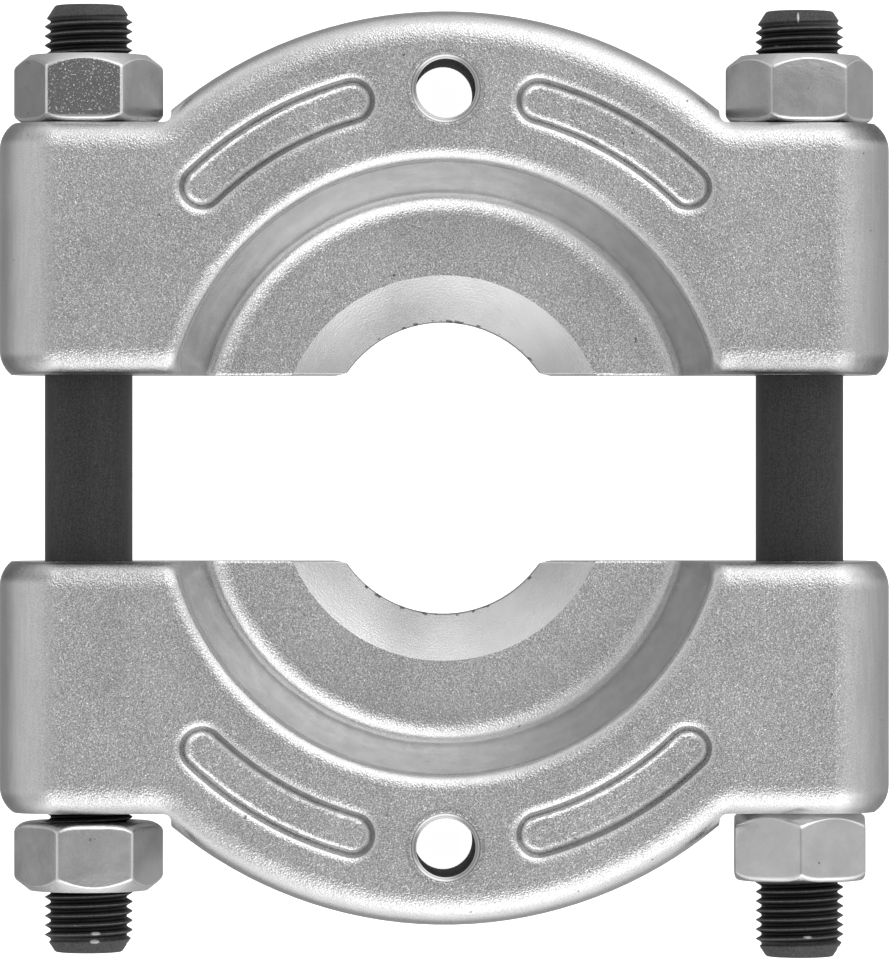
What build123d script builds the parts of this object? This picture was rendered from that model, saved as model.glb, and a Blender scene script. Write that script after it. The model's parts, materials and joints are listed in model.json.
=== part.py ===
from build123d import *
import os
from math import hypot, radians, tan

# A bearing separator: two forged half-yokes that close behind a bearing with a knife edge,
# drawn together by hexagon nuts on two studs. It lies on its back with the bevelled face up.
# X runs across the studs, Y along them and Z out of the front face. All sizes are in millimetres.
# The origin is under the middle of the part, on the ground back face.

# Studs and their thread
stud_diameter = 14.0
stud_length = 150.8
stud_spacing = 113.4
thread_pitch = 1.5
thread_depth = 0.613 * thread_pitch
tip_angle = 33.0
tip_round = 0.5

# Hexagon nuts
nut_across_flats = 20.8
nut_height = 11.0
nut_face_diameter = 18.8
nut_seat_diameter = 20.2
nut_chamfer_angle = 38.0
nut_corner_round = 0.6
thread_play = 0.05

# Forged half-yoke
yoke_thickness = 26.0
ear_depth = 39.9
ear_end_reach = 14.2
rim_radius = 68.2
ring_setback = 10.2
draft_angle = 3.0
end_round = 9.2
edge_round = 5.2
shoulder_round = 3.0

# Metal that is ground or milled off the forging
back_stock = 1.0
split_stock = 1.2
seat_stock = 1.1

# Nut seats and stud holes
seat_inner_end = 43.4
seat_cutter_round = 1.2
stud_hole_play = 0.3
stud_hole_chamfer = 0.4

# Stepped recess and knife edge
recess_mouth_radius = 44.3
recess_wall_draft = 16.2
recess_lip_round = 2.9
recess_foot_round = 3.8
plateau_height = 7.2
bevel_outer_radius = 26.3
knife_radius = 18.8
knife_land = 0.8
knife_corner_round = 0.7

# Circle in the rim that the arc pockets and the puller hole lie on, so much nearer the recess
# than half-way from its mouth to the rim
web_circle_inset = 0.95

# Arc pockets either side of the puller hole
pocket_width = 7.4
pocket_depth = 2.3
pocket_draft = 28.0
pocket_start_angle = 46.0
pocket_end_angle = 74.5
pocket_floor_round = 1.2
pocket_lip_round = 1.9

# Puller hole, bored to the middle of its thread's depth
puller_hole_bore = 9.35
puller_hole_mouth = 10.9
puller_mouth_lean = 32.0
puller_mouth_round = 1.4

# How the yokes, studs and nuts stand to each other in the photograph
yoke_gap = 29.65
gap_centre = 2.1
stud_shift = 0.425
backed_off = 1.5
upper_left_turn = -2.5
upper_right_turn = 5.0
lower_left_turn = 7.0
lower_right_turn = 27.5

# Worked out from the sizes above
stud_radius = stud_diameter / 2
stud_x = stud_spacing / 2
stud_height = yoke_thickness / 2
half_length = stud_x + ear_end_reach
past_corners = 0.65 * nut_across_flats
web_circle_radius = (recess_mouth_radius + rim_radius) / 2 - web_circle_inset
tip_radius = stud_radius - thread_depth - thread_pitch / 2
tip_length = (stud_radius - tip_radius) / tan(radians(tip_angle))
upper_split = gap_centre + yoke_gap / 2
lower_split = gap_centre - yoke_gap / 2
upper_seat = upper_split + ear_depth
lower_seat = lower_split - ear_depth
ring_centre = Pos(0, -ring_setback, 0)
clear_of_part = yoke_thickness
near = 0.01
turned_along_y = Rot(-90, 0, 0)


def turned(profile):
    """A solid of revolution about Z, from radius and height points."""
    outline = make_face(Polyline(*[(radius, 0, height) for radius, height in profile], close=True))
    return revolve(outline, Axis.Z)


def circles(shape, radius):
    """The circular edges of one radius."""
    round_edges = shape.edges().filter_by(GeomType.CIRCLE)
    return round_edges.filter_by(lambda edge: abs(edge.radius - radius) < near)


def ring_reach(edge):
    """How far from the ring's axis an edge of the half-yoke ends."""
    return max(hypot(end.X, end.Y + ring_setback) for end in edge.vertices())


def bore_cutter(radius, mouth_radius, length, mouth_lean=45.0):
    """A hole along Z from height 0 to length, with a conical mouth at each end."""
    mouth_depth = (mouth_radius - radius) * tan(radians(mouth_lean))
    return turned(
        [
            (0, -clear_of_part),
            (mouth_radius, -clear_of_part),
            (mouth_radius, 0),
            (radius, mouth_depth),
            (radius, length - mouth_depth),
            (mouth_radius, length),
            (mouth_radius, length + clear_of_part),
            (0, length + clear_of_part),
        ]
    )


def forging_plan():
    """Plan of the forging at its parting plane: a bar for the two ears and the rim's arc."""
    low, high = -split_stock, ear_depth + seat_stock
    bar = Pos(0, (low + high) / 2) * Rectangle(2 * half_length, high - low)
    rim = ring_centre * Circle(rim_radius)
    behind_split = Pos(0, low) * Rectangle(2 * rim_radius, rim_radius, align=(Align.CENTER, Align.MIN))
    plan = bar + (rim & behind_split)
    shoulders = plan.vertices().group_by(Axis.Y)[-1].sort_by(Axis.X)[1:-1]
    return fillet(shoulders, shoulder_round)


def forged_half(depth):
    """What one die forms, from the parting plane up: drafted sides, a big round on each ear's end,
    then one smaller round that runs on all round the face."""
    body = extrude(forging_plan(), amount=depth, taper=draft_angle)
    face_edges = body.faces().sort_by(Axis.Z)[-1].edges()
    ear_ends = face_edges.filter_by(GeomType.LINE).sort_by(lambda edge: abs(edge.center().X))[-2:]
    body = fillet(ear_ends, end_round)
    face_edges = body.faces().sort_by(Axis.Z)[-1].edges()
    return fillet(face_edges.sort_by(Edge.length)[-2:], edge_round)


def seat_cutter():
    """The milling cut that leaves both nut seats flat and a step in the rim beside each."""
    cut = Pos(seat_inner_end, ear_depth) * Rectangle(half_length, rim_radius, align=(Align.MIN, Align.MIN))
    inner_corner = cut.vertices().group_by(Axis.Y)[0].sort_by(Axis.X)[0]
    cut = extrude(fillet(inner_corner, seat_cutter_round), amount=2 * clear_of_part, both=True)
    return cut + mirror(cut, Plane.YZ)


def recess_cutter():
    """The stepped recess: knife edge, bevel, plateau and drafted wall, turned about the ring's axis."""
    top = yoke_thickness + clear_of_part
    wall_slope = tan(radians(recess_wall_draft))
    foot_radius = recess_mouth_radius - (yoke_thickness - plateau_height) * wall_slope
    top_radius = recess_mouth_radius + clear_of_part * wall_slope
    cut = turned(
        [
            (0, -clear_of_part),
            (knife_radius, -clear_of_part),
            (knife_radius, knife_land),
            (bevel_outer_radius, plateau_height),
            (foot_radius, plateau_height),
            (top_radius, top),
            (0, top),
        ]
    )
    return ring_centre * fillet(circles(cut, foot_radius), recess_foot_round)


def pocket_cutter(start_angle, end_angle):
    """One shallow arc pocket, sunk from the front face with sloping walls and a rounded floor edge."""
    middle = CenterArc((0, -ring_setback), web_circle_radius, start_angle, end_angle - start_angle)
    mouth = Pos(0, 0, yoke_thickness) * SlotArc(middle, pocket_width)
    cut = extrude(mouth, amount=pocket_depth, dir=(0, 0, -1), taper=pocket_draft)
    return fillet(cut.faces().sort_by(Axis.Z)[0].edges(), pocket_floor_round)


def knife_corners(body):
    """The edges where the knife's land and bevel run out into the split face."""
    split_faces = body.faces().sort_by(Axis.Y)[:2]
    edges = ShapeList(edge for face in split_faces for edge in face.edges())
    return edges.filter_by(lambda edge: ring_reach(edge) < bevel_outer_radius + near)


def half_yoke():
    """One half as it leaves the machine shop, with its split face on Y 0 and its ears towards +Y."""
    front_half = forged_half(yoke_thickness - stud_height)
    back_half = mirror(forged_half(stud_height + back_stock), Plane.XY)
    body = Pos(0, 0, stud_height) * (front_half + back_half)
    body = split(body, Plane.XY, keep=Keep.TOP)
    body = split(body, Plane.XZ, keep=Keep.BOTTOM)
    body -= seat_cutter()
    body -= recess_cutter()
    body = fillet(circles(body, recess_mouth_radius), recess_lip_round)
    body = fillet(knife_corners(body), knife_corner_round)
    body -= pocket_cutter(pocket_start_angle, pocket_end_angle)
    body -= pocket_cutter(180 - pocket_end_angle, 180 - pocket_start_angle)
    front_face = body.faces().sort_by(Axis.Z)[-1]
    body = fillet(front_face.inner_wires().edges(), pocket_lip_round)
    mouth_radius = puller_hole_mouth / 2
    puller_hole = bore_cutter(puller_hole_bore / 2, mouth_radius, yoke_thickness, puller_mouth_lean)
    body -= Pos(0, web_circle_radius - ring_setback, 0) * puller_hole
    body = fillet(circles(body, mouth_radius), puller_mouth_round)
    hole_radius = stud_radius + stud_hole_play
    stud_hole = turned_along_y * bore_cutter(hole_radius, hole_radius + stud_hole_chamfer, ear_depth)
    for side in (-1, 1):
        body -= Pos(side * stud_x, 0, stud_height) * stud_hole
    return body


def stud():
    """A stud along Y, centred, with its threaded ends left plain and its tips coned and rounded."""
    half = stud_length / 2
    shape = turned(
        [
            (0, -half),
            (tip_radius, -half),
            (stud_radius, tip_length - half),
            (stud_radius, half - tip_length),
            (tip_radius, half),
            (0, half),
        ]
    )
    return turned_along_y * fillet(circles(shape, tip_radius), tip_round)


def nut():
    """A hexagon nut along Y from its seat at 0 to its height, a flat to the front. The free face has
    the deeper chamfer, and the seat face is wider."""
    outline = RegularPolygon(nut_across_flats / 2, 6, major_radius=False)
    hexagon = extrude(fillet(outline.vertices(), nut_corner_round), amount=nut_height)
    face_radius, seat_radius = nut_face_diameter / 2, nut_seat_diameter / 2
    chamfer_slope = tan(radians(nut_chamfer_angle))
    envelope = turned(
        [
            (0, 0),
            (seat_radius, 0),
            (past_corners, (past_corners - seat_radius) * chamfer_slope),
            (past_corners, nut_height - (past_corners - face_radius) * chamfer_slope),
            (face_radius, nut_height),
            (0, nut_height),
        ]
    )
    bore_radius = stud_radius + thread_play
    body = (hexagon & envelope) - bore_cutter(bore_radius, bore_radius + thread_pitch / 2, nut_height)
    return turned_along_y * body


def placed_nut(side, end, seat, turn):
    """A nut on the left (-1) or right (1) stud, its seat at the given Y of the lower (-1) or upper (1) end."""
    facing = Rot(0, 0, 0) if end > 0 else Rot(0, 0, 180)
    return Pos(side * stud_x, seat, stud_height) * Rot(0, turn, 0) * facing * nut()


yoke = half_yoke()
parts = {
    "upper_yoke": Pos(0, upper_split, 0) * yoke,
    "lower_yoke": Pos(0, lower_split, 0) * mirror(yoke, Plane.XZ),
    "left_stud": Pos(-stud_x, stud_shift, stud_height) * stud(),
    "right_stud": Pos(stud_x, -stud_shift, stud_height) * stud(),
    "upper_left_nut": placed_nut(-1, 1, upper_seat, upper_left_turn),
    "upper_right_nut": placed_nut(1, 1, upper_seat, upper_right_turn),
    "lower_left_nut": placed_nut(-1, -1, lower_seat - backed_off, lower_left_turn),
    "lower_right_nut": placed_nut(1, -1, lower_seat, lower_right_turn),
}

os.makedirs("parts", exist_ok=True)
for name, shape in parts.items():
    shape.label = name
    export_step(shape, f"parts/{name}.step")
    print(f"{name}: {shape.volume / 1000:.2f} cm3, valid {shape.is_valid}")
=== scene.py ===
import json
from math import atan, atan2, ceil, cos, degrees, pi, radians, sin, sqrt, tan

import bmesh
import bpy
from bpy.props import FloatProperty, FloatVectorProperty, IntProperty, PointerProperty
from mathutils import Matrix, Vector


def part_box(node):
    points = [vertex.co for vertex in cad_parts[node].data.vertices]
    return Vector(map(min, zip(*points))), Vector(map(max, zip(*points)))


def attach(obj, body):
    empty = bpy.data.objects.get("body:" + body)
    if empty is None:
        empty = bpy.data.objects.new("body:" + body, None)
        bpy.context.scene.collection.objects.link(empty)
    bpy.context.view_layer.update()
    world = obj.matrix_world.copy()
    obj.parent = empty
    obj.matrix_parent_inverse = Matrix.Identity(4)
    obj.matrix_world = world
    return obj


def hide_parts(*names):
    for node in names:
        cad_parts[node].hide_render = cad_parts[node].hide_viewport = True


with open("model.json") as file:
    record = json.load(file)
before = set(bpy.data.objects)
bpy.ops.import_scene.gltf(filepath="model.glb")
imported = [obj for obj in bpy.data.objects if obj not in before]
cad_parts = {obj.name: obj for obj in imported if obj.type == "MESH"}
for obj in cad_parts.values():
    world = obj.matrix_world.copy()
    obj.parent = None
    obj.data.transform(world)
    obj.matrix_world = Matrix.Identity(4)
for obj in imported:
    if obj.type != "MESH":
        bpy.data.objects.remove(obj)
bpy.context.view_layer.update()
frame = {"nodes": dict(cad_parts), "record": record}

bl_info = {
    "name": "Bearing Separator",
    "version": (1, 0, 0),
    "blender": (4, 5, 0),
    "location": "View3D > Sidebar > Separator",
    "description": "Dresses a two-halved bearing separator on its studs and lights it in a studio",
    "category": "Object",
}

MM = 0.001
PER_METRE = 1000.0

# Forged half-yoke, in millimetres and degrees, as in the part's source
THICKNESS = 26.0
RING_SETBACK = 10.2
EAR_DEPTH = 39.9
SEAT_INNER_END = 43.4
RECESS_MOUTH_RADIUS = 44.3
RECESS_WALL_DRAFT = 16.2
PLATEAU_HEIGHT = 7.2
BEVEL_OUTER_RADIUS = 26.3
KNIFE_RADIUS = 18.8
POCKET_CIRCLE_RADIUS = 55.3
POCKET_MIDDLE_ANGLE = 60.25
POCKET_HALF_SPAN = 14.25
POCKET_HALF_WIDTH = 3.7
PULLER_BORE_RADIUS = 4.675
PULLER_MOUTH_RADIUS = 5.45
PULLER_PITCH = 1.0

# How far a mask reaches past the face that it picks out, in millimetres
HAIR = 0.02

# Across the part, in millimetres: where the painted shade on the ears' long edges sets in, and where their
# ends turn smooth
EAR_START = (40.0, 48.0)
SMOOTH_END = (60.5, 65.5)

# Relief that the finish adds to the half-yokes, in millimetres
WAVE_HEIGHT = 0.2
LUMP_HEIGHT = 0.22
POCKET_SINK = 0.7
PARTING_RISE = 0.12
WORN_EDGE_FALL = 0.12
PULLER_THREAD_HEIGHT = 0.8

# Turns of the grain's pattern in radians, so that its lattice is in line with no face
GRAIN_TURN = (0.5, 0.7, 0.3)
CROSSED_TURN = (1.2, 0.3, 1.0)

# Hexagon nut, in millimetres and degrees, as in the part's source
NUT_ACROSS_FLATS = 20.8
NUT_FACE_RADIUS = 9.4
NUT_CHAMFER_ANGLE = 38.0
NUT_CORNER_ROUND = 0.6
NUT_BORE_RADIUS = 7.05
NUT_HEIGHT = 11.0
NUT_TURNS = {"upper_left_nut": -2.5, "upper_right_nut": 5.0, "lower_left_nut": 7.0, "lower_right_nut": 27.5}

# The nut that stands with its chamfered side on the seat
TURNED_ROUND = "lower_right_nut"

# Turned round of the corners on the nut's other side, in millimetres
NUT_SEAT_ROUND = 3.0

# How fast the free edge's round grows from a nut's flats to its corners
CORNER_EDGE_GAIN = 0.5

# Wear and painted highlight of each nut's edges at its free face, at its seat and along its corners, and
# painted highlight on its chamfer
NUT_WEAR_AND_HIGHLIGHT = {
    "upper_left_nut": (0.7, 1.0, 0.8),
    "upper_right_nut": (1.0, 1.0, 0.12),
    "lower_left_nut": (0.7, 1.0, 0.6),
    "lower_right_nut": (0.6, 0.8, 0.0),
}
CONE_HIGHLIGHT = 0.45

# How bright each nut's plating is, against the finish's colour
NUT_TONES = {"upper_left_nut": 1.0, "upper_right_nut": 0.96, "lower_left_nut": 1.0, "lower_right_nut": 1.12}

# Stud, in millimetres and degrees, as in the part's source
STUD_HEIGHT = 13.0
STUD_RADIUS = 7.0
TIP_RADIUS = 5.33
TIP_ANGLE = 33.0
TIP_ROUND = 0.5
THREAD_PITCH = 1.5
THREAD_DEPTH = 0.92

# From the stud's middle, in millimetres: where the thread sets in and where the tip's cone begins
THREAD_START = (35.0, 37.0)
CONE_START = 72.9

# Degrees by which the thread is turned at each stud's upper and lower end
THREAD_TURNS = {"left_stud": (36.0, -125.0), "right_stud": (26.0, -103.0)}

# Bare nicks near the studs' tips: place across and along the part and half sizes, in millimetres
TIP_NICKS = (
    (-55.6, -73.0, 0.8, 0.35),
    (-55.4, -71.7, 0.8, 0.3),
    (57.6, -72.4, 0.7, 0.25),
    (56.1, 73.7, 0.2, 0.9),
    (52.7, 69.3, 0.4, 0.2),
)

# Floor, in metres. It lies a little under the part's back face, so that the two don't flicker
FLOOR_GAP = 0.00005
FLOOR_HALF_WIDTH = 4.0

# Directions of the two soft boxes, from +X towards +Y, and how far they reach round and up, in degrees
SOFT_BOX_ANGLES = (62.0, -72.0)
SOFT_BOX_REACH = (50.0, 20.0)
SOFT_BOX_TOP = (8.0, 38.0)
SOFT_BOX_FOOT = (84.0, 66.0)
CEILING_REACH = (42.0, 10.0)

# Camera: where it stands and what it looks at, in metres, and its lens in millimetres
CAMERA_PLACE = (-0.021, 0.0008, 1.222)
CAMERA_TARGET = (0.0001, 0.0002, 0.013)
CAMERA_LENS = 284.25


def node_centre(node):
    """Middle of a CAD node's box, in millimetres."""
    low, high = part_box(node)
    return (low + high) / 2 * PER_METRE


def split_height(half):
    """Where a half-yoke's split face stands along Y, in millimetres."""
    low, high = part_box(f"{half}_yoke")
    return (low.y if half == "upper" else high.y) * PER_METRE


def puller_reach():
    """Distance of the puller hole from the split face, in millimetres."""
    mount = next(m for m in frame["record"]["mounts"] if m["name"] == "upper_puller_hole")
    return mount["pos_m"][1] * PER_METRE - split_height("upper")


class ForgedFinish(bpy.types.PropertyGroup):
    """Colours and grain of the half-yokes."""

    skin: FloatVectorProperty(
        name="Forged skin",
        description="Colour of the blasted and plated forging",
        subtype="COLOR",
        size=4,
        min=0,
        max=1,
        default=(0.62, 0.62, 0.62, 1),
    )
    machined: FloatVectorProperty(
        name="Machined faces",
        description="Colour of the turned, milled and ground faces",
        subtype="COLOR",
        size=4,
        min=0,
        max=1,
        default=(0.66, 0.66, 0.66, 1),
    )
    pit: FloatVectorProperty(
        name="Pits",
        description="Colour at the bottom of the small pits in the forging",
        subtype="COLOR",
        size=4,
        min=0,
        max=1,
        default=(0.2, 0.2, 0.2, 1),
    )
    bore: FloatVectorProperty(
        name="Tapped bore",
        description="Colour of the oily thread in the puller holes",
        subtype="COLOR",
        size=4,
        min=0,
        max=1,
        default=(0.09, 0.09, 0.09, 1),
    )
    grain_height: FloatProperty(
        name="Grain height",
        description="Height of the blasted grain",
        unit="LENGTH",
        min=0,
        default=0.0001,
    )
    speckle: FloatProperty(
        name="Speckle",
        description="How much the single grains differ in brightness",
        subtype="FACTOR",
        min=0,
        max=1,
        default=0.55,
    )
    skin_roughness: FloatProperty(
        name="Skin roughness",
        description="How widely the forged skin spreads a reflection",
        subtype="FACTOR",
        min=0,
        max=1,
        default=0.27,
    )
    machined_roughness: FloatProperty(
        name="Machined roughness",
        description="How widely the machined faces spread a reflection",
        subtype="FACTOR",
        min=0,
        max=1,
        default=0.26,
    )


class NutFinish(bpy.types.PropertyGroup):
    """Colour and edges of the hexagon nuts."""

    plating: FloatVectorProperty(
        name="Plating",
        description="Colour of the plated nuts",
        subtype="COLOR",
        size=4,
        min=0,
        max=1,
        default=(0.6, 0.6, 0.6, 1),
    )
    # Partly painted highlight: this bright colour goes on the polished edges beyond what the lamps give
    # them, and on the free face's chamfer as painted highlight only
    burnished_and_highlight: FloatVectorProperty(
        name="Burnished edge",
        description="Colour of the edges that tumbling has polished",
        subtype="COLOR",
        size=4,
        min=0,
        max=1,
        default=(0.95, 0.95, 0.95, 1),
    )
    scale_skin: FloatVectorProperty(
        name="Scaled facet",
        description="Colour of the one facet that keeps its dark forging scale, and of small nicks",
        subtype="COLOR",
        size=4,
        min=0,
        max=1,
        default=(0.2, 0.2, 0.2, 1),
    )
    roughness: FloatProperty(
        name="Roughness",
        description="How widely the plating spreads a reflection",
        subtype="FACTOR",
        min=0,
        max=1,
        default=0.3,
    )
    edge_round: FloatProperty(
        name="Edge round",
        description="Radius between the facets and the chamfer of the free face",
        unit="LENGTH",
        min=0,
        default=0.0004,
    )
    seat_edge_round: FloatProperty(
        name="Seat edge round",
        description="Radius between the facets and the turned corners of the seat face",
        unit="LENGTH",
        min=0,
        default=0.001,
    )
    columns: IntProperty(
        name="Columns",
        description="Cuts along each side of the hexagon",
        min=4,
        default=15,
    )


class StudFinish(bpy.types.PropertyGroup):
    """Thread and colour of the studs."""

    oxide: FloatVectorProperty(
        name="Black oxide",
        description="Colour of the oxide on the studs",
        subtype="COLOR",
        size=4,
        min=0,
        max=1,
        default=(0.033, 0.033, 0.033, 1),
    )
    worn: FloatVectorProperty(
        name="Worn crest",
        description="Colour where the oxide has rubbed off the thread crests",
        subtype="COLOR",
        size=4,
        min=0,
        max=1,
        default=(0.16, 0.16, 0.16, 1),
    )
    nick: FloatVectorProperty(
        name="Nick",
        description="Colour of the bare steel in the small nicks near the tips",
        subtype="COLOR",
        size=4,
        min=0,
        max=1,
        default=(0.5, 0.5, 0.5, 1),
    )
    roughness: FloatProperty(
        name="Roughness",
        description="How widely the oxide spreads a reflection",
        subtype="FACTOR",
        min=0,
        max=1,
        default=0.45,
    )
    thread_length: FloatProperty(
        name="Thread length",
        description="Length of the thread at each end",
        unit="LENGTH",
        min=0,
        default=0.04,
    )
    steps: IntProperty(
        name="Steps per turn",
        description="Faces round one turn of the thread",
        min=12,
        default=48,
    )


class StudioLight(bpy.types.PropertyGroup):
    """Brightness of the studio."""

    overhead: FloatProperty(
        name="Overhead",
        description="Brightness straight above the part",
        min=0,
        default=0.4,
    )
    surround: FloatProperty(
        name="Surround",
        description="Brightness of the studio between the soft boxes",
        min=0,
        default=0.66,
    )
    soft_box: FloatProperty(
        name="Soft boxes",
        description="Brightness that the two soft boxes add",
        min=0,
        default=1.25,
    )
    below: FloatProperty(
        name="Below",
        description="Brightness straight under the part",
        min=0,
        default=0.4,
    )
    horizon: FloatProperty(
        name="Horizon",
        description="Brightness that the pale table adds beyond the two ends of the studs",
        min=0,
        default=0.5,
    )
    floor_glow: FloatProperty(
        name="Floor glow",
        description="Light that the pale floor gives off by itself",
        min=0,
        default=0.97,
    )


class Wire:
    """A value that runs through a node tree. Arithmetic on it adds Math nodes."""

    def __init__(self, graph, socket):
        self.graph = graph
        self.socket = socket

    def __getitem__(self, name):
        return Wire(self.graph, self.socket.node.outputs[name])

    def __add__(self, other):
        return self.graph.math("ADD", self, other)

    def __radd__(self, other):
        return self.graph.math("ADD", other, self)

    def __sub__(self, other):
        return self.graph.math("SUBTRACT", self, other)

    def __rsub__(self, other):
        return self.graph.math("SUBTRACT", other, self)

    def __mul__(self, other):
        return self.graph.math("MULTIPLY", self, other)

    def __rmul__(self, other):
        return self.graph.math("MULTIPLY", other, self)

    def __truediv__(self, other):
        return self.graph.math("DIVIDE", self, other)

    def __rtruediv__(self, other):
        return self.graph.math("DIVIDE", other, self)

    def __abs__(self):
        return self.graph.math("ABSOLUTE", self)

    def largest(self, *others):
        """The largest of this value and the others."""
        result = self
        for other in others:
            result = self.graph.math("MAXIMUM", result, other)
        return result


class Graph:
    """The nodes of one material or of the world."""

    def __init__(self, tree):
        self.tree = tree
        tree.nodes.clear()

    def node(self, kind, settings=None, values=None):
        """Adds one node, with its settings first and then the values or wires of its sockets."""
        made = self.tree.nodes.new(kind)
        for name, setting in (settings or {}).items():
            setattr(made, name, setting)
        for name, value in (values or {}).items():
            socket = self.find_socket(made.inputs, name)
            if isinstance(value, Wire):
                self.tree.links.new(value.socket, socket)
            else:
                socket.default_value = value
        outputs = [socket for socket in made.outputs if socket.enabled]
        return Wire(self, outputs[0]) if outputs else None

    @staticmethod
    def find_socket(sockets, name):
        """A socket by its place in the list, its name or its identifier."""
        if isinstance(name, int):
            return sockets[name]
        matching = [socket for socket in sockets if name in (socket.identifier, socket.name)]
        return next((socket for socket in matching if socket.enabled), matching[0])

    def math(self, operation, *values):
        """A Math node on one, two or three numbers."""
        return self.node("ShaderNodeMath", {"operation": operation}, dict(enumerate(values)))

    def vector(self, operation, *values, **named):
        """A Vector Math node."""
        sockets = {**dict(enumerate(values)), **named}
        return self.node("ShaderNodeVectorMath", {"operation": operation}, sockets)

    def mix(self, factor, first, second):
        """One colour over another."""
        values = {"Factor_Float": factor, "A_Color": first, "B_Color": second}
        return self.node("ShaderNodeMix", {"data_type": "RGBA"}, values)

    def step(self, value, low, high):
        """0 up to low and 1 from high on, or the other way round where low is the larger."""
        values = {"Value": value, "From Min": low, "From Max": high, "To Min": 0.0, "To Max": 1.0}
        return self.node("ShaderNodeMapRange", {"interpolation_type": "SMOOTHSTEP"}, values)

    def noise(self, vector, scale, detail=2.0, roughness=0.5):
        """Perlin noise of about 0 to 1."""
        values = {"Vector": vector, "Scale": scale, "Detail": detail, "Roughness": roughness}
        return self.node("ShaderNodeTexNoise", None, values)

    def rings(self, distance, scale):
        """Noise that changes with one distance only."""
        values = {"W": distance, "Scale": scale, "Detail": 1.0}
        return self.node("ShaderNodeTexNoise", {"noise_dimensions": "1D"}, values)

    def turned(self, vector, angles):
        """A place after a turn, in radians about the three axes."""
        return self.node("ShaderNodeMapping", None, {"Vector": vector, "Rotation": angles})

    def place(self):
        """Place on the part in millimetres."""
        coordinates = self.node("ShaderNodeTexCoord")["Object"]
        return self.vector("SCALE", coordinates, Scale=PER_METRE)

    def parts_of(self, vector):
        """The three numbers of a vector."""
        split = self.node("ShaderNodeSeparateXYZ", None, {0: vector})
        return split["X"], split["Y"], split["Z"]

    def length(self, first, second):
        """Distance in a plane, from its two sides."""
        return self.math("SQRT", first * first + second * second)

    def surface(self, height, **finish):
        """The shader and the material's output, with the height in millimetres as a bump."""
        bumped = self.node("ShaderNodeBump", None, {"Strength": 1.0, "Distance": MM, "Height": height})
        shader = self.node("ShaderNodeBsdfPrincipled", None, {**finish, "Normal": bumped})
        self.node("ShaderNodeOutputMaterial", None, {"Surface": shader})


def new_material(name):
    """An empty material and the graph that fills it."""
    material = bpy.data.materials.new(name)
    material.use_nodes = True
    return material, Graph(material.node_tree)


class YokeFaces:
    """Places on one half-yoke in millimetres, and masks from 0 to 1 of its faces."""

    def __init__(self, graph, half):
        self.outward = 1.0 if half == "upper" else -1.0
        self.point = graph.place()
        self.across, along, self.up = graph.parts_of(self.point)
        self.side = abs(self.across)
        self.deep = (along - split_height(half)) * self.outward
        self.ring = graph.length(self.across, self.deep + RING_SETBACK)
        self.hole = graph.length(self.across, self.deep - puller_reach())
        self.front = graph.step(self.up, THICKNESS - 4, THICKNESS - 3)
        self.crossed = graph.turned(self.point, CROSSED_TURN)
        self.cloud = graph.noise(self.point, 0.07, 3.0, 0.55)
        self.mark_machined(graph)
        self.mark_pockets(graph)
        self.mark_skin(graph)

    def mark_machined(self, graph):
        """The turned bevel and recess wall, the milled and ground faces and the puller hole."""
        bevel = graph.step(self.ring, BEVEL_OUTER_RADIUS + HAIR, BEVEL_OUTER_RADIUS)
        self.bevel = bevel * graph.step(self.up, PLATEAU_HEIGHT, PLATEAU_HEIGHT - HAIR)
        wall_ring = RECESS_MOUTH_RADIUS - (THICKNESS - self.up) * tan(radians(RECESS_WALL_DRAFT))
        self.wall = graph.step(abs(self.ring - wall_ring), 4 * HAIR, HAIR)
        milled = graph.step(self.deep, 2 * HAIR, HAIR)
        seat = graph.step(self.deep, EAR_DEPTH - 2 * HAIR, EAR_DEPTH - HAIR)
        seat = seat * graph.step(self.side, SEAT_INNER_END - 2 * HAIR, SEAT_INNER_END - HAIR)
        ground = graph.step(self.up, 2 * HAIR, HAIR)
        mouth = graph.step(self.hole, PULLER_MOUTH_RADIUS + HAIR, PULLER_MOUTH_RADIUS)
        self.tapped = graph.step(self.hole, PULLER_BORE_RADIUS + 3 * HAIR, PULLER_BORE_RADIUS + HAIR)
        self.flat = milled.largest(seat, ground)
        self.machined = self.bevel.largest(self.wall, self.flat, mouth)
        self.skin = 1 - self.machined

    def mark_pockets(self, graph):
        """The two arc pockets and their wall, by the distance inside the pocket's outline."""
        around = graph.math("ARCTAN2", self.deep + RING_SETBACK, self.side) - radians(POCKET_MIDDLE_ANGLE)
        beyond = (abs(around) - radians(POCKET_HALF_SPAN)) * POCKET_CIRCLE_RADIUS
        beyond = graph.math("MAXIMUM", beyond, 0.0)
        inside = POCKET_HALF_WIDTH - graph.length(beyond, self.ring - POCKET_CIRCLE_RADIUS)
        self.pocket = graph.step(inside, -0.05, 0.95) * self.front
        self.pocket_wall = graph.step(inside, -0.1, 0.2) * graph.step(inside, 1.3, 0.9) * self.front

    def mark_skin(self, graph):
        """Level skin, the ears' long edges, their smooth ends and the trimmed parting line."""
        normal = graph.parts_of(graph.node("ShaderNodeNewGeometry")["Normal"])
        facing = abs(normal[2])
        self.level = graph.step(facing, 0.72, 0.99)
        self.smooth_end = graph.step(self.side, *SMOOTH_END)
        ear = graph.step(self.side, *EAR_START)
        self.ear_edge = graph.step(abs(normal[1]), 0.1, 0.45) * ear * self.skin
        from_middle = abs(self.up - THICKNESS / 2)
        self.parting = graph.step(from_middle, 1.1, 0.8) * graph.step(facing, 0.5, 0.25) * self.skin


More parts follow.
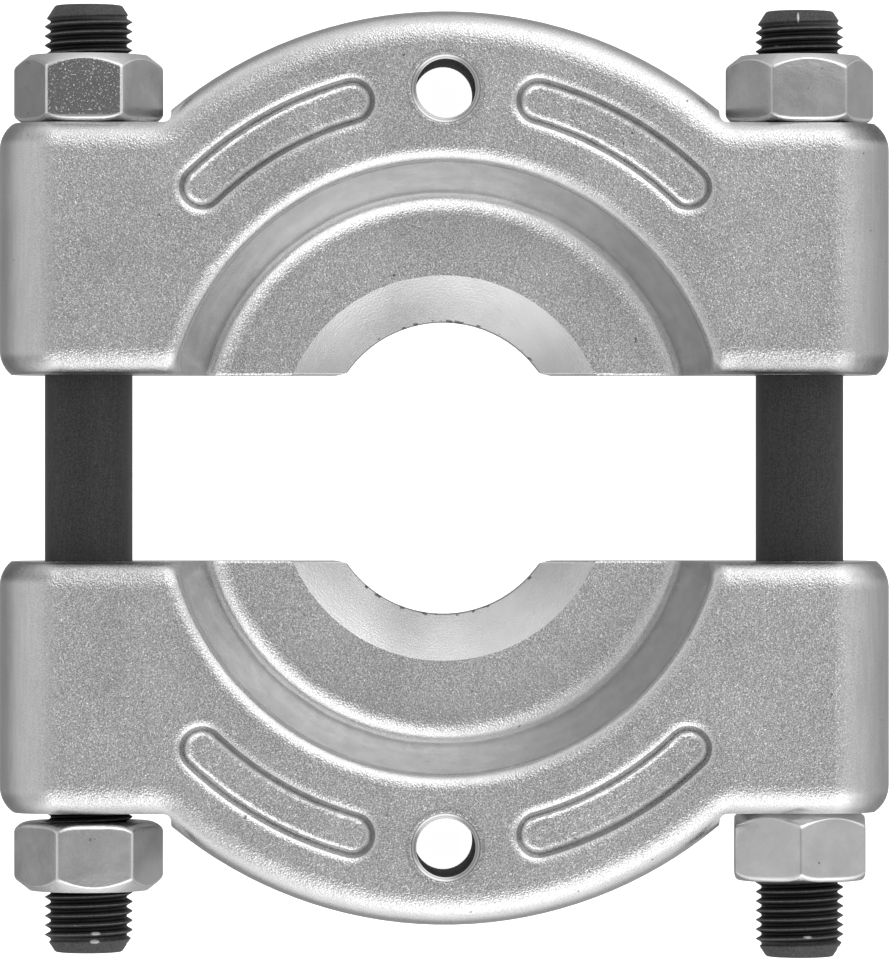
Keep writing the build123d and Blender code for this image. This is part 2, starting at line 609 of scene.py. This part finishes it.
def forged_relief(graph, yoke, grain_height):
    """Height of the half-yoke's finish in millimetres: grain, waves, tool marks and the thread."""
    grain = graph.noise(graph.turned(yoke.point, GRAIN_TURN), 3.6, 1.0, 0.55)
    grain = (grain + graph.noise(yoke.crossed, 3.0, 1.0, 0.55) - 1.0) * 0.72
    coarse = grain_height * (0.88 + yoke.cloud * 0.25)
    coarse = coarse * (0.25 + yoke.level * 0.75) * (1 - yoke.smooth_end * 0.7)
    waves = (graph.noise(yoke.point, 0.13, 2.0, 0.5) - 0.5) * WAVE_HEIGHT
    lumps = (graph.noise(yoke.point, 0.5, 2.0, 0.6) - 0.5) * yoke.pocket * LUMP_HEIGHT

    turning = (graph.rings(yoke.ring, 5.0) - 0.5) * 0.004
    turning = turning + (graph.noise(yoke.point, 2.6, 2.0) - 0.5) * 0.014
    scratched = graph.vector("MULTIPLY", yoke.point, (0.25, 1.0, 7.0))
    cutter = (graph.noise(scratched, 2.0, 3.0) - 0.5) * 0.01
    angle = graph.math("ARCTAN2", yoke.deep - puller_reach(), yoke.across)
    turns = yoke.up / PULLER_PITCH + angle * (1 / (2 * pi))
    thread = graph.math("PINGPONG", turns, 0.5) * PULLER_THREAD_HEIGHT
    inland = graph.step(yoke.deep, 0.0, 0.45) + graph.step(yoke.ring, KNIFE_RADIUS, KNIFE_RADIUS + 0.3)

    height = yoke.skin * (grain * coarse + waves + lumps) + yoke.bevel.largest(yoke.wall) * turning
    height = height + yoke.flat * cutter + yoke.tapped * thread + inland * WORN_EDGE_FALL
    return height - yoke.pocket * POCKET_SINK + yoke.parting * PARTING_RISE


def edge_painted_shade(graph, yoke, half):
    """How much the colour of the ears' long edges is darkened, as painted shade that dims their highlights
    below the rim's, most of all at their ends.
    """
    split_side = graph.step(yoke.deep, 12.0, 5.0)
    far_ear = graph.step(yoke.across * yoke.outward, 30.0, 45.0)
    painted_dimming = graph.step(yoke.across, 10.0, -10.0) * 0.12 + split_side * (0.07 + far_ear * 0.12) + 0.03
    end_painted_dimming = 0.15
    if half == "upper":
        right_ear = graph.step(yoke.across, *EAR_START)
        right_end = graph.step(yoke.across, 60.5, 64.5)
        painted_dimming = painted_dimming + right_end * (1 - split_side) * 0.3
        painted_dimming = painted_dimming + right_ear * (1 - right_end) * split_side * 0.16
        end_painted_dimming = 0.18
    return yoke.ear_edge * (painted_dimming + graph.step(yoke.side, 61.0, 65.5) * end_painted_dimming)


def puller_rings(graph, yoke):
    """Fine dark turning marks round the mouth of the puller hole, and two darker lines, one near the bore's
    edge and one at the mouth's edge.
    """
    marks = graph.step(graph.rings(yoke.hole, 4.0), 0.35, 0.65) * 0.3
    for radius, strength in ((PULLER_BORE_RADIUS + 0.3, 0.4), (PULLER_MOUTH_RADIUS, 0.35)):
        marks = marks + graph.step(abs(yoke.hole - radius), 0.14, 0.05) * strength
    return marks * graph.step(yoke.hole, 6.6, 6.0) * yoke.front


def forged_shade(graph, yoke, half, speckle):
    """How bright the half-yoke's colour is, 1 being the colour itself. Besides random speckle, tone and
    stains, it holds painted shade on the ears' edges, the recess wall and the pockets' walls, and painted
    light and shade on the ears' ends and the bevel.
    """
    speck = graph.step(graph.noise(yoke.crossed, 4.6, 1.0, 0.5), 0.3, 0.7) - 0.5
    contrast = yoke.skin * (0.3 + yoke.level * 0.7) * (1 - yoke.smooth_end * 0.7) * speckle + 0.05
    shade = 1.0 + speck * contrast + (graph.step(yoke.cloud, 0.25, 0.75) - 0.5) * 0.08
    # Painted shade on the ears' long edges
    shade = shade - edge_painted_shade(graph, yoke, half)

    drawn = graph.vector("MULTIPLY", yoke.point, (1.0, 0.08, 1.0))
    streaks = graph.step(graph.noise(drawn, 1.6, 2.0), 0.3, 0.7) - 0.5
    stains = graph.step(graph.noise(yoke.point, 0.28, 3.0, 0.6), 0.3, 0.7) - 0.5
    # Painted light and shade on the ears' ends: lighter where the smooth end begins, darker beyond it,
    # darker still at the right end
    end_painted_light = graph.step(yoke.side, 60.5, 62.5) * 0.11 - graph.step(yoke.side, 63.0, 68.5) * 0.17
    end_painted_light = end_painted_light - graph.step(yoke.across, 61.5, 65.0) * 0.13
    shade = shade + yoke.skin * (yoke.smooth_end * streaks * 0.08 + end_painted_light)
    # Painted shade darkens the whole recess wall, with random stains over it; the trimmed parting line is a
    # little lighter and streaked
    shade = shade + yoke.wall * (stains * 0.11 - 0.22) + yoke.parting * (streaks * 0.1 + 0.05)

    # Painted highlight on the turned bevel, brighter towards its ends and most of all at the lower half's
    # left, with random stains
    bevel_end_highlight = graph.step(yoke.side, 5.0, 17.0) * 0.28 + 0.06
    left_bevel_highlight = graph.step(yoke.across, -3.0, -17.0) * (0.35 if half == "lower" else 0.06)
    shade = shade + yoke.bevel * (bevel_end_highlight + left_bevel_highlight + stains * 0.05)
    # Painted shade on the pockets' walls, and the dark lines round the puller hole's mouth
    return shade * (1 - yoke.pocket_wall * 0.05) * (1 - puller_rings(graph, yoke))


def forged_steel(half, finish):
    """Blasted forging with turned, milled and ground faces, for one half-yoke, with painted light and shade
    in its colour.
    """
    material, graph = new_material(f"{half}_forged_steel")
    yoke = YokeFaces(graph, half)
    height = forged_relief(graph, yoke, finish.grain_height * PER_METRE)

    burr = graph.step(yoke.ring, KNIFE_RADIUS + 0.6, KNIFE_RADIUS + 0.3)
    burr = burr * graph.step(graph.noise(yoke.point, 0.8, 1.0), 0.56, 0.62)
    rolled_edge = graph.step(yoke.ring, KNIFE_RADIUS + 0.24, KNIFE_RADIUS + 0.08) * 0.55
    pits = graph.step(graph.noise(yoke.point, 0.9, 1.0), 0.79, 0.81) * yoke.skin
    colour = graph.mix(yoke.machined, finish.skin[:], finish.machined[:])
    colour = graph.vector("SCALE", colour, Scale=forged_shade(graph, yoke, half, finish.speckle))
    colour = graph.mix(pits.largest(burr, rolled_edge), colour, finish.pit[:])
    colour = graph.mix(yoke.tapped, colour, finish.bore[:])

    skin_roughness = finish.skin_roughness + (yoke.cloud - 0.5) * 0.07 + yoke.smooth_end * 0.13
    roughness = yoke.skin * skin_roughness + yoke.machined * finish.machined_roughness + yoke.tapped * 0.3
    graph.surface(height, **{"Base Color": colour, "Roughness": roughness, "Metallic": 1.0})
    return material


def nut_steel(nut, finish):
    """Satin plated nut with burnished edges, whose brightness is partly painted highlight, and a painted
    highlight on the chamfer of its free face. The upper left one keeps dark scale on its front facet.
    """
    material, graph = new_material(f"{nut}_plating")
    point = graph.place()
    edge = graph.node("ShaderNodeAttribute", {"attribute_name": "edge_wear_and_highlight"})["Fac"]
    fine = graph.noise(point, 2.6, 2.0, 0.6)
    waves = graph.noise(point, 0.3, 2.0) * 0.1
    cloud = graph.noise(point, 0.2, 3.0, 0.6)
    shade = 0.94 * NUT_TONES[nut] + (graph.step(cloud, 0.25, 0.75) - 0.5) * 0.16 + (fine - 0.5) * 0.16
    colour = graph.vector("SCALE", finish.plating[:3], Scale=shade)
    nick = graph.step(graph.noise(point, 1.0, 1.0), 0.76, 0.79)
    colour = graph.mix(nick * 0.7, colour, finish.scale_skin[:])
    height = (fine - 0.5) * 0.03 + waves
    roughness = finish.roughness + (cloud - 0.5) * 0.14
    if nut == "upper_left_nut":
        across, along, up = graph.parts_of(point)
        centre = node_centre(nut)
        lean = radians(NUT_TURNS[nut])
        reach = (across - centre.x) * sin(lean) + (up - STUD_HEIGHT) * cos(lean)
        front = graph.step(reach, NUT_ACROSS_FLATS / 2 - 0.1, NUT_ACROSS_FLATS / 2 - 0.02)
        from_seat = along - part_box(nut)[0].y * PER_METRE
        front = front * graph.step(from_seat, 1.15, 1.3)
        grit = graph.noise(point, 4.0, 2.0, 0.6) - 0.5
        spark = graph.step(graph.noise(point, 3.6, 1.0), 0.6, 0.72)
        scale_colour = graph.mix(spark * 0.8, finish.scale_skin[:], finish.burnished_and_highlight[:])
        colour = graph.mix(front, colour, scale_colour)
        height = height + grit * front * 0.1
    # Edges worn bright, partly wear and partly painted highlight; the free face's chamfer is a painted
    # highlight
    worn = edge * graph.step(graph.noise(point, 1.4, 2.0, 0.6), 0.2, 0.4)
    colour = graph.mix(worn, colour, finish.burnished_and_highlight[:])
    graph.surface(height, **{"Base Color": colour, "Roughness": roughness, "Metallic": 1.0})
    return material


def black_oxide(stud, finish):
    """Oxide on a stud: fine lengthwise texture, crests rubbed bare in places, painted shade in the thread's
    roots and a painted highlight on the tip's cone.
    """
    material, graph = new_material(f"{stud}_oxide")
    point = graph.place()
    across, along, up = graph.parts_of(point)
    centre = node_centre(stud)
    radial = graph.length(across - centre.x, up - STUD_HEIGHT)
    reach = abs(along - centre.y)
    threaded = graph.step(reach, *THREAD_START)
    crest = graph.step(radial, STUD_RADIUS - 0.2, STUD_RADIUS - 0.04) * threaded
    rubbed = graph.step(graph.noise(point, 0.7, 2.0), 0.66, 0.74) * crest
    drawn = graph.vector("MULTIPLY", point, (1.0, 0.06, 1.0))
    lengthwise = graph.noise(drawn, 4.0, 3.0, 0.6)
    fine = graph.noise(point, 3.2, 2.0, 0.6)
    # Painted highlight on the tip's cone and painted shade in the thread's roots
    cone = graph.step(reach, CONE_START - 0.2, CONE_START + 0.2)
    root = graph.step(radial, STUD_RADIUS - 0.25, STUD_RADIUS - 0.75) * threaded * (1 - cone)
    colour = graph.mix(crest * 0.5 + rubbed * 0.5, finish.oxide[:], finish.worn[:])
    shade = (graph.step(lengthwise, 0.3, 0.7) * 0.3 + 0.85) * (1 - root * 0.92) * (1 + cone * 0.5)
    shade = shade * (0.65 + graph.step(fine, 0.3, 0.7) * 0.7)
    colour = graph.vector("SCALE", colour, Scale=shade)
    upper_side = graph.step(up, STUD_HEIGHT, STUD_HEIGHT + 1) * (1 - root)
    for x, y, half_width, half_length in TIP_NICKS:
        spot = graph.length((across - x) * (1 / half_width), (along - y) * (1 / half_length))
        bare = graph.step(spot + fine, 1.6, 1.1) * upper_side
        colour = graph.mix(bare, colour, finish.nick[:])
    roughness = finish.roughness + (fine - 0.5) * 0.2
    height = fine * 0.03 + lengthwise * 0.012
    graph.surface(height, **{"Base Color": colour, "Roughness": roughness, "Metallic": 0.0, "IOR": 1.33})
    return material


def add_piece(name, mesh_source, material):
    """Makes a bmesh a piece of the scene with one material."""
    mesh = bpy.data.meshes.new(name)
    mesh_source.to_mesh(mesh)
    mesh_source.free()
    mesh.materials.append(material)
    piece = bpy.data.objects.new(name, mesh)
    bpy.context.scene.collection.objects.link(piece)
    return piece


def mark_sharp(mesh_source, angle):
    """Smooth faces everywhere, with the edges over an angle kept sharp."""
    for face in mesh_source.faces:
        face.smooth = True
    for edge in mesh_source.edges:
        edge.smooth = edge.calc_face_angle(0.0) < angle


def loop_at(mesh_source, height):
    """The open edges that lie at one height."""
    near = 1e-4
    return [
        edge
        for edge in mesh_source.edges
        if edge.is_boundary and all(abs(vert.co.z - height) < near for vert in edge.verts)
    ]


def next_ring(mesh_source, edges, radius, height):
    """Extrudes a loop of edges to a ring of another radius and height."""
    made = bmesh.ops.extrude_edge_only(mesh_source, edges=edges)["geom"]
    for vert in (item for item in made if isinstance(item, bmesh.types.BMVert)):
        flat = vert.co.xy.normalized() * radius
        vert.co = (flat.x, flat.y, height)
    return [item for item in made if isinstance(item, bmesh.types.BMEdge) and item.is_boundary]


def thread_profile():
    """One pitch of the thread, from crest to crest, as radius and height points."""
    half_crest = 0.05
    slope = tan(radians(30))
    root = STUD_RADIUS - THREAD_DEPTH
    root_rise = 0.14
    half_root = 0.13
    flank = THREAD_DEPTH - root_rise
    half = [(STUD_RADIUS, 0.0), (STUD_RADIUS, half_crest)]
    half += [(STUD_RADIUS - flank * part / 3, half_crest + flank * slope * part / 3) for part in (1, 2, 3)]
    half += [(root + 0.03, THREAD_PITCH / 2 - half_root), (root, THREAD_PITCH / 2)]
    other = [(radius, THREAD_PITCH - height) for radius, height in reversed(half[:-1])]
    return half + other


def threaded_end(half_length, thread_length, steps, turn):
    """One threaded end of a stud along Z, with its run-out, cone and rounded tip."""
    end = bmesh.new()
    start = half_length - thread_length
    run_out = 1.6 * THREAD_PITCH
    first = start - 2 * THREAD_PITCH
    turns = ceil((half_length - first) / THREAD_PITCH) + 1
    verts = [end.verts.new((radius, 0, first + height)) for radius, height in thread_profile()]
    edges = [end.edges.new(pair) for pair in zip(verts, verts[1:])]
    bmesh.ops.spin(
        end,
        geom=verts + edges,
        cent=(0, 0, 0),
        axis=(0, 0, 1),
        dvec=(0, 0, THREAD_PITCH / steps),
        angle=2 * pi,
        steps=steps,
    )
    one_turn = end.verts[:] + end.edges[:] + end.faces[:]
    for number in range(1, turns):
        copied = bmesh.ops.duplicate(end, geom=one_turn)["geom"]
        copied = [item for item in copied if isinstance(item, bmesh.types.BMVert)]
        bmesh.ops.translate(end, verts=copied, vec=(0, 0, number * THREAD_PITCH))
    bmesh.ops.remove_doubles(end, verts=end.verts[:], dist=1e-4)
    slope = tan(radians(TIP_ANGLE))
    for vert in end.verts:
        flat = vert.co.xy
        cut = min(max((vert.co.z - start) / run_out, 0.0), 1.0)
        radius = STUD_RADIUS - (STUD_RADIUS - flat.length) * cut
        radius = min(radius, TIP_RADIUS + max(half_length - vert.co.z, 0.0) * slope)
        vert.co.xy = flat.normalized() * radius
    bmesh.ops.rotate(end, verts=end.verts[:], cent=(0, 0, 0), matrix=Matrix.Rotation(turn, 3, "Z"))

    cone_end = half_length - 2 * TIP_ROUND
    for height, outward in ((cone_end, 1), (start, -1)):
        bmesh.ops.bisect_plane(
            end,
            geom=end.verts[:] + end.edges[:] + end.faces[:],
            plane_co=(0, 0, height),
            plane_no=(0, 0, outward),
            clear_outer=True,
        )
    ring = loop_at(end, cone_end)
    whole = radians(90 - TIP_ANGLE)
    centre_radius = TIP_RADIUS - TIP_ROUND * tan(whole / 2)
    for part in (1, 0.67, 0.33, 0):
        lean = whole * part
        radius = centre_radius + TIP_ROUND * sin(lean)
        ring = next_ring(end, ring, radius, half_length - TIP_ROUND * (1 - cos(lean)))
    ring = next_ring(end, ring, centre_radius / 2, half_length)
    bmesh.ops.edgeloop_fill(end, edges=ring)
    return end


def join_other_end(target, source):
    """Turns one bmesh end for end and adds its geometry to another."""
    bmesh.ops.rotate(source, verts=source.verts[:], cent=(0, 0, 0), matrix=Matrix.Rotation(pi, 3, "X"))
    carrier = bpy.data.meshes.new("carrier")
    source.to_mesh(carrier)
    source.free()
    target.from_mesh(carrier)
    bpy.data.meshes.remove(carrier)


def stud_mesh(stud, finish, turns):
    """A stud with a helical thread at each end and a plain shank between."""
    low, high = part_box(stud)
    half_length = (high.y - low.y) / 2 * PER_METRE
    thread_length = finish.thread_length * PER_METRE
    mesh = threaded_end(half_length, thread_length, finish.steps, radians(turns[0]))
    other = threaded_end(half_length, thread_length, finish.steps, radians(turns[1]))
    join_other_end(mesh, other)
    start = half_length - thread_length
    bmesh.ops.bridge_loops(mesh, edges=loop_at(mesh, start) + loop_at(mesh, -start))
    bmesh.ops.recalc_face_normals(mesh, faces=mesh.faces[:])
    mark_sharp(mesh, radians(35))
    centre = (low + high) / 2
    to_place = Matrix.Translation(centre) @ Matrix.Rotation(-pi / 2, 4, "X") @ Matrix.Scale(MM, 4)
    bmesh.ops.transform(mesh, matrix=to_place, verts=mesh.verts[:])
    return mesh


def hexagon_radius(angle):
    """Distance from the axis to the nut's rounded hexagon, in a direction from one of its corners."""
    half_flat = NUT_ACROSS_FLATS / 2
    off_corner = abs((degrees(angle) + 30) % 60 - 30)
    tangent_angle = 30 - degrees(atan((half_flat - NUT_CORNER_ROUND) * tan(radians(30)) / half_flat))
    if off_corner > tangent_angle:
        return half_flat / cos(radians(30 - off_corner))
    centre = (half_flat - NUT_CORNER_ROUND) / cos(radians(30))
    lean = radians(off_corner)
    return centre * cos(lean) + sqrt(NUT_CORNER_ROUND**2 - (centre * sin(lean)) ** 2)


def free_side(outer, edge_round):
    """Points from a facet over its edge, rounder at the corners, and up the cone of the free face."""
    edge_round = edge_round + (outer - NUT_ACROSS_FLATS / 2) * CORNER_EDGE_GAIN
    whole = radians(90 - NUT_CHAMFER_ANGLE)
    parts = 4
    cone = NUT_HEIGHT / 2 - (outer - NUT_FACE_RADIUS) * tan(radians(NUT_CHAMFER_ANGLE))
    start = cone - edge_round * tan(whole / 2)
    leans = [whole * part / parts for part in range(parts + 1)]
    points = [(outer - edge_round * (1 - cos(lean)), start + edge_round * sin(lean)) for lean in leans]
    return points + [(NUT_FACE_RADIUS, NUT_HEIGHT / 2)]


def seat_side(outer, edge_round):
    """Points from a facet over its rounded edge, then over the corner's turned round to the seat face."""
    edge_parts = 6
    corner_parts = 5
    base = NUT_HEIGHT / 2 - NUT_SEAT_ROUND
    reach = max(outer - NUT_ACROSS_FLATS / 2, 0.0)
    inner = outer - edge_round - reach
    rise = sqrt((NUT_SEAT_ROUND - edge_round) ** 2 - reach**2)
    turned = atan2(reach, rise)
    leans = [(pi / 2 - turned) * part / edge_parts for part in range(edge_parts + 1)]
    points = [(outer - edge_round * (1 - cos(lean)), base + rise + edge_round * sin(lean)) for lean in leans]
    for part in reversed(range(corner_parts)):
        lean = turned * part / corner_parts
        points.append((inner + NUT_SEAT_ROUND * sin(lean), base + NUT_SEAT_ROUND * cos(lean)))
    return points


def nut_half(side, edge_round, columns, edge_wear_and_highlight, corner_wear_and_highlight):
    """One half of a nut from its middle up: facets, rounded edge, face and bore."""
    half = bmesh.new()
    wear_and_highlight_layer = half.verts.layers.float.new("edge_wear_and_highlight")
    corner = hexagon_radius(0)
    outline = bmesh.ops.create_circle(half, cap_ends=True, segments=6, radius=corner)
    bmesh.ops.rotate(half, verts=outline["verts"], cent=(0, 0, 0), matrix=Matrix.Rotation(pi / 6, 3, "Z"))
    bmesh.ops.bevel(
        half,
        geom=half.verts[:],
        offset=NUT_CORNER_ROUND * tan(radians(30)),
        offset_type="OFFSET",
        segments=4,
        profile=0.5,
        affect="VERTICES",
        material=-1,
    )
    sides = [edge for edge in half.edges if edge.calc_length() > NUT_CORNER_ROUND]
    bmesh.ops.subdivide_edges(half, edges=sides, cuts=columns)
    bmesh.ops.delete(half, geom=half.faces[:], context="FACES_ONLY")

    flat_radius = NUT_ACROSS_FLATS / 2
    corner_radius = corner - 0.05
    bore = (
        (NUT_BORE_RADIUS + THREAD_PITCH / 2, NUT_HEIGHT / 2),
        (NUT_BORE_RADIUS, NUT_HEIGHT / 2 - THREAD_PITCH / 2),
        (NUT_BORE_RADIUS, 0),
    )

    # Rows of points from the nut's middle up: these two lie on the rounded edge
    edge_rows = range(2, 4)

    def place(verts, number):
        for vert in verts:
            outer = hexagon_radius(atan2(vert.co.y, vert.co.x))
            points = [(outer, 0), *side(outer, edge_round), *bore]
            radius, height = points[number]
            flat = vert.co.xy.normalized() * radius
            vert.co = (flat.x, flat.y, height)
            # Bright edge colour, partly wear and partly painted highlight, at the corners and edges; painted
            # highlight on the free face's chamfer
            on_corner = corner_wear_and_highlight if outer > corner_radius and number < edge_rows.stop else 0.0
            at_corner = (outer - flat_radius) / (corner_radius - flat_radius)
            on_edge = edge_wear_and_highlight * (1 - min(at_corner, 1.0) * 0.6) if number in edge_rows else 0.0
            chamfered = side is free_side and number > edge_rows.stop and radius > NUT_BORE_RADIUS
            cone_highlight = CONE_HIGHLIGHT if chamfered else 0.0
            vert[wear_and_highlight_layer] = max(on_corner, on_edge, cone_highlight)

    place(half.verts, 0)
    edges = half.edges[:]
    for number in range(1, 1 + len(side(flat_radius, edge_round)) + len(bore)):
        made = bmesh.ops.extrude_edge_only(half, edges=edges)["geom"]
        place([item for item in made if isinstance(item, bmesh.types.BMVert)], number)
        edges = [item for item in made if isinstance(item, bmesh.types.BMEdge) and item.is_boundary]
    return half


def nut_mesh(nut, finish):
    """A hexagon nut with a deep chamfer on its free face and a rounded edge at its seat."""
    free_wear_and_highlight, seat_wear_and_highlight, corner_wear_and_highlight = NUT_WEAR_AND_HIGHLIGHT[nut]
    columns = finish.columns
    mesh = nut_half(free_side, finish.edge_round * PER_METRE, columns, free_wear_and_highlight, corner_wear_and_highlight)
    other = nut_half(seat_side, finish.seat_edge_round * PER_METRE, columns, seat_wear_and_highlight, corner_wear_and_highlight)
    join_other_end(mesh, other)
    bmesh.ops.remove_doubles(mesh, verts=mesh.verts[:], dist=1e-3)
    bmesh.ops.recalc_face_normals(mesh, faces=mesh.faces[:])
    mark_sharp(mesh, radians(25))
    low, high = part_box(nut)
    upwards = nut.startswith("upper") or nut == TURNED_ROUND
    facing = Matrix.Rotation(0 if upwards else pi, 4, "Z")
    turn = Matrix.Rotation(radians(NUT_TURNS[nut]), 4, "Y")
    upright = Matrix.Rotation(-pi / 2, 4, "X")
    centre = Matrix.Translation(Vector((low + high) / 2))
    to_place = centre @ turn @ facing @ upright @ Matrix.Scale(MM, 4)
    bmesh.ops.transform(mesh, matrix=to_place, verts=mesh.verts[:])
    return mesh


class SEPARATOR_OT_dress_yokes(bpy.types.Operator):
    """Gives both forged half-yokes their finish"""

    bl_idname = "separator.dress_yokes"
    bl_label = "Dress half-yokes"

    def execute(self, context):
        finish = context.scene.separator_forging
        for half in ("upper", "lower"):
            yoke = frame["nodes"][f"{half}_yoke"]
            yoke.data.materials.clear()
            yoke.data.materials.append(forged_steel(half, finish))
        return {"FINISHED"}


class SEPARATOR_OT_build_nuts(bpy.types.Operator):
    """Builds the four tumbled hexagon nuts over the CAD nuts"""

    bl_idname = "separator.build_nuts"
    bl_label = "Build nuts"

    def execute(self, context):
        finish = context.scene.separator_nuts
        for nut in NUT_TURNS:
            piece = add_piece(f"{nut}_tumbled", nut_mesh(nut, finish), nut_steel(nut, finish))
            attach(piece, nut)
            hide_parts(nut)
        return {"FINISHED"}


class SEPARATOR_OT_build_studs(bpy.types.Operator):
    """Builds the two studs with their helical threads"""

    bl_idname = "separator.build_studs"
    bl_label = "Build studs"

    def execute(self, context):
        finish = context.scene.separator_studs
        for stud, turns in THREAD_TURNS.items():
            piece = add_piece(f"{stud}_threaded", stud_mesh(stud, finish, turns), black_oxide(stud, finish))
            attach(piece, stud)
            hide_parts(stud)
        return {"FINISHED"}


def floor_material(glow):
    """Pale matt floor that glows a little, so that only soft contact shadows stay on it."""
    material, graph = new_material("pale_floor")
    values = {"Base Color": (0.82, 0.82, 0.82, 1), "Roughness": 0.9, "Emission Strength": glow}
    shader = graph.node("ShaderNodeBsdfPrincipled", None, {**values, "Emission Color": (1, 1, 1, 1)})
    graph.node("ShaderNodeOutputMaterial", None, {"Surface": shader})
    return material


def cosine(angle):
    """Cosine of an angle in degrees."""
    return cos(radians(angle))


def studio_world(light):
    """Soft studio light by direction: a dim ceiling, two soft boxes to the sides and a pale table."""
    world = bpy.data.worlds.new("studio")
    world.use_nodes = True
    graph = Graph(world.node_tree)
    direction = graph.node("ShaderNodeTexCoord")["Generated"]
    x, y, z = graph.parts_of(direction)
    flat = graph.length(x, y) + 1e-6
    boxes = 0.0
    for angle in SOFT_BOX_ANGLES:
        facing = (x * cosine(angle) + y * sin(radians(angle))) / flat
        boxes = boxes + graph.step(facing, *map(cosine, SOFT_BOX_REACH))
    band = graph.step(z, *map(cosine, SOFT_BOX_TOP)) * graph.step(z, *map(cosine, SOFT_BOX_FOOT))
    ceiling = graph.step(z, *map(cosine, CEILING_REACH))
    base = (light.surround + (light.overhead - light.surround) * ceiling) * (1 - 0.06 * x)
    table = y * y * (1 - y * 0.25) * graph.step(z, -0.62, -0.25) * graph.step(z, 0.5, 0.15)
    rim = graph.step(z, -0.2, 0.0) * graph.step(z, 0.4, 0.15)
    corners = (1 - y * y) * abs(y) * 0.75 + graph.step(x + y, 0.95, 1.4) * 0.8
    low = light.below * (1 + x * 0.35)
    above = graph.step(z, -0.5, 0.1)
    shine = low + (base - low) * above + (table + rim * corners) * light.horizon
    shine = shine + boxes * band * light.soft_box
    seen = graph.node("ShaderNodeLightPath")["Is Camera Ray"]
    strength = shine + (1.0 - shine) * seen
    background = graph.node("ShaderNodeBackground", None, {"Color": (1, 1, 1, 1), "Strength": strength})
    graph.node("ShaderNodeOutputWorld", None, {"Surface": background})
    return world


def photograph_camera():
    """A camera that looks down from the photograph's viewpoint."""
    camera = bpy.data.objects.new("camera", bpy.data.cameras.new("camera"))
    camera.data.sensor_width = 36.0
    camera.data.lens = CAMERA_LENS
    camera.data.clip_start = 0.05
    camera.data.clip_end = 20.0
    eye = Vector(CAMERA_PLACE)
    aim = Vector(CAMERA_TARGET)
    back = (eye - aim).normalized()
    right = Vector((0, 1, 0)).cross(back).normalized()
    up = back.cross(right)
    turn = Matrix((right, up, back)).transposed()
    camera.matrix_world = Matrix.Translation(eye) @ turn.to_4x4()
    return camera


class SEPARATOR_OT_build_stage(bpy.types.Operator):
    """Builds the pale floor, the studio light and the camera"""

    bl_idname = "separator.build_stage"
    bl_label = "Build stage"

    def execute(self, context):
        light = context.scene.separator_light
        ground = bmesh.new()
        bmesh.ops.create_grid(ground, x_segments=2, y_segments=2, size=FLOOR_HALF_WIDTH)
        bmesh.ops.translate(ground, verts=ground.verts[:], vec=(0, 0, -FLOOR_GAP))
        floor = add_piece("floor", ground, floor_material(light.floor_glow))
        floor.visible_glossy = False
        scene = context.scene
        scene.world = studio_world(light)
        camera = photograph_camera()
        scene.collection.objects.link(camera)
        scene.camera = camera
        scene.view_settings.view_transform = "Standard"
        return {"FINISHED"}


class SEPARATOR_PT_build(bpy.types.Panel):
    """Sizes, colours and steps of the bearing separator"""

    bl_idname = "SEPARATOR_PT_build"
    bl_label = "Bearing Separator"
    bl_space_type = "VIEW_3D"
    bl_region_type = "UI"
    bl_category = "Separator"

    def draw(self, context):
        for name, group in PROPERTY_GROUPS.items():
            box = self.layout.box()
            settings = getattr(context.scene, name)
            for prop in group.__annotations__:
                box.prop(settings, prop)
        for operator in OPERATORS:
            self.layout.operator(operator.bl_idname)


PROPERTY_GROUPS = {
    "separator_forging": ForgedFinish,
    "separator_nuts": NutFinish,
    "separator_studs": StudFinish,
    "separator_light": StudioLight,
}
OPERATORS = (
    SEPARATOR_OT_dress_yokes,
    SEPARATOR_OT_build_nuts,
    SEPARATOR_OT_build_studs,
    SEPARATOR_OT_build_stage,
)


def register():
    for group in PROPERTY_GROUPS.values():
        bpy.utils.register_class(group)
    for name, group in PROPERTY_GROUPS.items():
        setattr(bpy.types.Scene, name, PointerProperty(type=group))
    for operator in OPERATORS:
        bpy.utils.register_class(operator)
    bpy.utils.register_class(SEPARATOR_PT_build)


def unregister():
    bpy.utils.unregister_class(SEPARATOR_PT_build)
    for operator in reversed(OPERATORS):
        bpy.utils.unregister_class(operator)
    for name in PROPERTY_GROUPS:
        delattr(bpy.types.Scene, name)
    for group in reversed(PROPERTY_GROUPS.values()):
        bpy.utils.unregister_class(group)


def main():
    register()
    bpy.ops.separator.dress_yokes()
    bpy.ops.separator.build_nuts()
    bpy.ops.separator.build_studs()
    bpy.ops.separator.build_stage()


if __name__ == "__main__":
    main()
